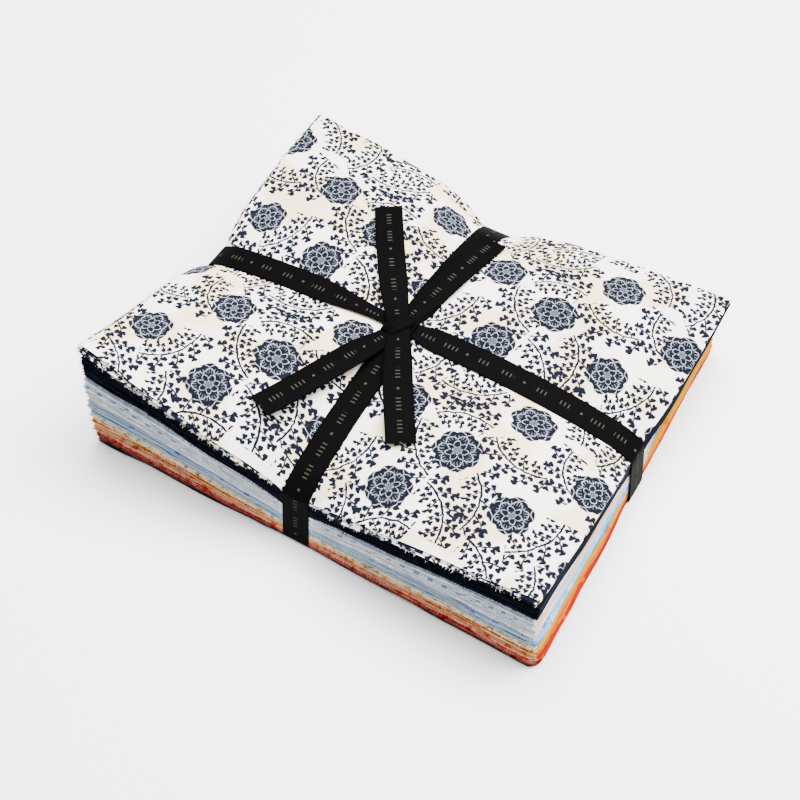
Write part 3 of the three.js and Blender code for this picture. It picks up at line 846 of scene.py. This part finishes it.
# Sizes of the yarn ends, in millimetres. The dark cloths and the top one have longer ones.
YARN_SPACING = 1.9
YARN_RADIUS = 0.16
SHORTEST = 0.3
LONGEST = 1.5
LONGEST_DARK = 2.0
DARK_FROM = COUNT - 6
# None stand this near to a strap or the floor.
YARN_CLEAR = 1.5


def fray(number, outer, inner, raw):
    """Yarn ends along the raw edges at the front and on the left, but none at the straps or the
    floor."""
    middle = (outer + inner) / 2
    rims = [(middle[:, 0], (0, -1, 0)), (middle[:, -1], (0, -1, 0))]
    rims += [(middle[0], (-1, 0, 0)), (middle[-1], (-1, 0, 0))]
    points = np.concatenate([rim for rim, _ in rims])
    beside = [rim[:, 0] - SHORT_STRAP_X if way[1] else rim[:, 1] - strap_y(rim[:, 0]) for rim, way in rims]
    bare = np.abs(np.concatenate(beside)) > RIBBON_WIDTH / 2 + YARN_CLEAR
    bare = bare & (points[:, 2] > YARN_CLEAR)
    starts = np.cumsum([0] + [len(rim) for rim, _ in rims])
    edges = [(n, n + 1) for a, b in zip(starts, starts[1:]) for n in range(a, b - 1)]
    edges = [edge for edge in edges if bare[edge[0]] and bare[edge[1]]]
    name = "frayed_" + QUARTERS[number]
    mesh = bpy.data.meshes.new(name)
    mesh.from_pydata((points * MM).tolist(), edges, [])
    headings = mesh.attributes.new("out", "FLOAT_VECTOR", "POINT")
    outward = np.concatenate([np.tile(way, (len(rim), 1)) for rim, way in rims])
    headings.data.foreach_set("vector", outward.astype(np.float32).ravel())
    piece = bpy.data.objects.new(name, mesh)
    bpy.context.scene.collection.objects.link(piece)
    sizes = {
        "Spacing": YARN_SPACING * MM,
        "Shortest": SHORTEST * MM,
        "Longest": (LONGEST_DARK if number >= DARK_FROM else LONGEST) * MM,
        "Yarn Radius": YARN_RADIUS * MM,
        "Seed": SEED + number,
        "Yarn": raw,
    }
    run_nodes(piece, FRAY, sizes)
    return piece


# The cloths.

def cloth_piece(number):
    node = QUARTERS[number]
    name = node.split("_")[-1]
    grid = TOP_GRID if number == COUNT - 1 else INNER_GRID
    outer, inner, place = folded_quarter(number, **grid)
    vertices, faces, kinds = sheet_mesh(inner, outer)
    uv = np.concatenate([place.reshape(-1, 2)] * 2)
    printed, raw = cotton(name)
    looks = (kinds != 1).astype(int)
    piece = make_object("folded_" + node, vertices, faces, [printed, raw], uv, looks)
    ends = fray(number, outer, inner, raw)
    for thing in (piece, ends):
        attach(thing, "root")
    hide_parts(node)


for quarter_number in range(COUNT):
    cloth_piece(quarter_number)


# The ribbon.

def walk(points, step=1.3, passes=3):
    """A closed path at even steps, with its corners softened."""
    points = np.asarray(points, float)
    closed = np.vstack([points, points[:1]])
    length = np.concatenate([[0.0], np.cumsum(np.linalg.norm(np.diff(closed, axis=0), axis=1))])
    at = np.linspace(0.0, length[-1], round(length[-1] / step) + 1)[:-1]
    path = np.column_stack([np.interp(at, length, closed[:, n]) for n in range(3)])
    for _ in range(passes):
        path = (np.roll(path, 1, 0) + 2 * path + np.roll(path, -1, 0)) / 4
    return path


def strip(name, centre, side, closed, width, cup, across=7):
    """A flat ribbon along centre points; side: unit vectors across it. width and cup: rows of
    a width share, and how far the edges stand above the middle, in millimetres."""
    centre, side = np.asarray(centre, float), np.asarray(side, float)
    if closed:
        ahead = np.roll(centre, -1, 0) - np.roll(centre, 1, 0)
    else:
        ahead = np.gradient(centre, axis=0)
    normal = np.cross(ahead, side)
    normal /= np.linalg.norm(normal, axis=1)[:, None]
    v = np.linspace(-1, 1, across)
    half = (width * RIBBON_WIDTH / 2)[:, None, None]
    middle = centre[:, None] + side[:, None] * (v[None, :, None] * half)
    middle = middle + normal[:, None] * (cup[:, None] * np.abs(v) ** 1.5)[:, :, None]
    upper = middle + normal[:, None] * RIBBON_THICK / 2
    lower = middle - normal[:, None] * RIBBON_THICK / 2
    vertices, faces, _ = sheet_mesh(lower, upper, closed)
    steps = np.linalg.norm(np.diff(centre, axis=0), axis=1)
    length = np.concatenate([[0.0], np.cumsum(steps)])
    uv = np.stack(np.broadcast_arrays(length[:, None], v[None] * RIBBON_WIDTH / 2), -1).reshape(-1, 2)
    piece = make_object(name, vertices, faces, [RIBBON], np.concatenate([uv, uv]))
    if closed:
        length = np.append(length, length[-1] + np.linalg.norm(centre[0] - centre[-1]))
    return piece, length[-1]


def finish_ribbon(piece, node):
    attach(piece, "root")
    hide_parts(node)


CROSSING = np.array([SHORT_STRAP_X, strap_y(SHORT_STRAP_X)])
KNOT = np.array([-11.0, -1.0])
HALF_T = RIBBON_THICK / 2
LIE = RIBBON_APART + HALF_T
# A strap is gathered only on top of the stack, above this height.
ON_TOP = 20.0
# How far the edges of a gathered ribbon stand up where it is narrowed: of a strap and of a free
# end, which curls a little all along too.
STRAP_CUP = 1.6
END_CUP = 2.6
END_CURL = 0.5


def gather(distance, least, reach, power):
    """The share of its width that a ribbon keeps, this far from the knot."""
    return 1 - (1 - least) * np.exp(-((distance / reach) ** power))


def strap(node, along_x, over):
    """A strap round the stack. over: how far it stands above the other strap where they cross."""
    if along_x:
        low, high, a, b = -LONG_SIDE / 2, LONG_SIDE / 2, "left", "right"
    else:
        low, high, a, b = -SHORT_SIDE / 2, SHORT_SIDE / 2, "front", "back"

    def place(s, z):
        return (s, strap_y(s), z) if along_x else (SHORT_STRAP_X, s, z)

    middle = CROSSING[0 if along_x else 1]
    top = np.linspace(low + DRAWN_IN[a] - LIE, high - DRAWN_IN[b] + LIE, 130)
    line = np.array([place(s, 0) for s in top])
    crossing = over * np.exp(-(((top - middle) / 12.0) ** 2))
    heights = top_height(line[:, 0], line[:, 1]) + LIE + crossing
    run = [place(s, z) for s, z in zip(top[::-1], heights[::-1])]
    ground = HALF_T + (RIBBON_THICK + 0.1 if along_x else 0.0)
    under = np.linspace(low - LIE, high + LIE, 80)
    under = [place(s, mix(HALF_T, ground, math.exp(-(((s - middle) / 10.0) ** 2)))) for s in under]
    loop = walk(run + under)
    off = loop[:, 0 if along_x else 1] - middle
    width = gather(np.abs(off), least=0.6, reach=12.0, power=3.0)
    if along_x:
        on_left = gather(np.abs(off), least=0.5, reach=40.0, power=4.0)
        width = np.where(off < 0, on_left, width)
    width = np.where(loop[:, 2] > ON_TOP, width, 1.0)
    side = np.tile([0.0, 1.0, 0.0] if along_x else [-1.0, 0.0, 0.0], (len(loop), 1))
    cup = STRAP_CUP * (1 - width)
    piece, length = strip(node + "_woven", loop[::-1], side, True, width[::-1], cup[::-1])
    finish_ribbon(piece, node)


strap("ribbon_strap_long", True, 0.0)
strap("ribbon_strap_short", False, 0.7)

# Each free end: where its cut end lies, how high it leaves the knot, how far it arches up, how
# far it bends to the left of its own heading, and the share of its width that it has at the knot.
ENDS = [
    {"end": "back", "x": -59, "y": 69, "leave": 4.2, "arch": 2.0, "bend": 1.0, "narrow": 0.8},
    {"end": "front", "x": 30, "y": -68, "leave": 4.2, "arch": 2.0, "bend": -1.0, "narrow": 0.8},
    {"end": "left", "x": -42, "y": -88, "leave": 2.2, "arch": 1.6, "bend": 1.5, "narrow": 0.6},
    {"end": "right", "x": 0.5, "y": 87, "leave": 2.2, "arch": 1.5, "bend": -1.5, "narrow": 0.6},
]


def free_end(row):
    node = "ribbon_end_" + row["end"]
    end = np.array([row["x"], row["y"]], float)
    whole = np.linalg.norm(end - KNOT)
    heading = (end - KNOT) / whole
    side = np.array([-heading[1], heading[0]])
    t = np.linspace(0.04, 1.0, 60)
    flat = KNOT + heading * (t * whole)[:, None] + side * (row["bend"] * np.sin(math.pi * t))[:, None]
    edges = [flat + side * (RIBBON_WIDTH / 2 * v) for v in (-1, -0.5, 0, 0.5, 1)]
    cloth = np.max([top_height(p[:, 0], p[:, 1]) for p in edges], axis=0)
    cloth = np.convolve(np.pad(cloth, 4, mode="edge"), np.ones(9) / 9, mode="valid")
    rest = cloth + RIBBON_THICK + 2 * RIBBON_APART + HALF_T
    leave = (CROWN + row["leave"] - rest[0]) * (1 - t) ** 3
    z = rest + leave + row["arch"] * np.sin(math.pi * t) ** 2
    centre = np.column_stack([flat, z])
    width = gather(t * whole, least=row["narrow"], reach=19.0, power=2.5)
    cup = END_CUP * (1 - width) + END_CURL * np.sin(math.pi * t)
    sides = np.tile([side[0], side[1], 0.0], (len(t), 1))
    piece, length = strip(node + "_woven", centre[::-1], sides, False, width[::-1], cup[::-1], 9)
    finish_ribbon(piece, node)


for end_row in ENDS:
    free_end(end_row)


# Each gathered band of the knot: its heading, its foot and top above the crown, and how many
# pleats it has. Their length, width and depth of pleat are the same.
BANDS = [
    {"x": -50.0, "y": 71.0, "foot": 1.2, "top": 4.6, "pleats": 3.0},
    {"x": 42.0, "y": 95.0, "foot": 1.6, "top": 6.3, "pleats": 2.5},
]
BAND_LENGTH = 18.0
BAND_WIDTH = 12.0
PLEAT = 0.45


def knot_band(row):
    """A gathered band that arches over the knot, with pleats along it. Returns its outer and inner
    side."""
    heading = np.array([row["x"], row["y"]]) / math.hypot(row["x"], row["y"])
    side = np.array([-heading[1], heading[0]])
    s, v = np.meshgrid(np.linspace(-1, 1, 33), np.linspace(-1, 1, 41), indexing="ij")
    arch = np.sqrt(np.maximum(1 - s**2, 0.0))
    waist = 1.0 - 0.3 * s**2
    crown = np.sqrt(np.maximum(1 - v**2, 0.0))
    pleat = PLEAT * np.cos(v * math.pi * row["pleats"]) * crown
    place = KNOT + heading * (s * BAND_LENGTH / 2)[..., None]
    place = place + side * (v * waist * BAND_WIDTH / 2)[..., None]
    foot = CROWN + row["foot"]
    z = foot + (row["top"] - row["foot"]) * (0.15 + 0.85 * arch * crown) + pleat * (0.4 + 0.6 * arch)
    outer = np.concatenate([place, z[..., None]], -1)
    inner = np.concatenate([place, np.minimum(z - 0.5, foot)[..., None]], -1)
    return outer, inner


def knot():
    vertices, faces = np.zeros((0, 3)), np.zeros((0, 4), int)
    for row in BANDS:
        outer, inner = knot_band(row)
        made, around, _ = sheet_mesh(inner, outer)
        faces = np.concatenate([faces, around + len(vertices)])
        vertices = np.concatenate([vertices, made])
    # The bands show the plain black 3 mm beside the ribbon's printed line.
    uv = np.column_stack([vertices[:, 0] + 9.0, np.full(len(vertices), 3.0)])
    piece = make_object("ribbon_knot_tied", vertices, faces, [RIBBON], uv)
    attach(piece, "root")
    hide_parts("ribbon_knot")


knot()


# Floor, light and camera.

def stage():
    bpy.ops.mesh.primitive_plane_add(size=6.0)
    floor = bpy.context.object
    floor.name = "floor"
    material, tree, shader = new_material("pale_matt_floor", 0.9)
    shader.inputs["Base Color"].default_value = linear("#F7F7F7")
    floor.data.materials.append(material)


def area_light(name, place, target, size, power, colour="#FFFFFF"):
    data = bpy.data.lights.new(name, "AREA")
    data.shape = "DISK"
    data.size = size
    data.energy = power
    data.color = linear(colour)[:3]
    lamp = bpy.data.objects.new(name, data)
    bpy.context.scene.collection.objects.link(lamp)
    lamp.location = Vector(place)
    lamp.rotation_euler = (Vector(target) - Vector(place)).to_track_quat("-Z", "Y").to_euler()


def light():
    world = bpy.data.worlds.new("soft_studio")
    bpy.context.scene.world = world
    world.use_nodes = True
    background = world.node_tree.nodes["Background"]
    background.inputs["Color"].default_value = linear("#F4F7FB")
    background.inputs["Strength"].default_value = 1.25
    area_light("key_from_right", (0.6, 0.5, 1.35), (0, 0, 0.03), 0.9, 60.0, "#FFFCF8")
    area_light("overhead", (-0.1, 0.3, 1.5), (0, 0, 0.03), 1.2, 85.0)


AZIMUTH, ELEVATION, TILT = 30.97, 52.76, -0.49
DISTANCE, FOCAL_PX = 0.7891, 1448.6
TARGET = Vector((0.0022, -0.0222, 0.025))
IMAGE_PX, SENSOR = 800, 36.0


def camera():
    a, e, r = (math.radians(v) for v in (AZIMUTH, ELEVATION, TILT))
    back = Vector((math.sin(a) * math.cos(e), -math.cos(a) * math.cos(e), math.sin(e)))
    right = Vector((0, 0, 1)).cross(back).normalized()
    up = back.cross(right)
    right, up = math.cos(r) * right + math.sin(r) * up, -math.sin(r) * right + math.cos(r) * up
    data = bpy.data.cameras.new("camera")
    data.sensor_width = SENSOR
    data.lens = SENSOR * FOCAL_PX / IMAGE_PX
    eye = bpy.data.objects.new("camera", data)
    bpy.context.scene.collection.objects.link(eye)
    turned = Matrix((right, up, back)).transposed().to_4x4()
    eye.matrix_world = Matrix.Translation(TARGET + back * DISTANCE) @ turned
    bpy.context.scene.camera = eye


stage()
light()
camera()
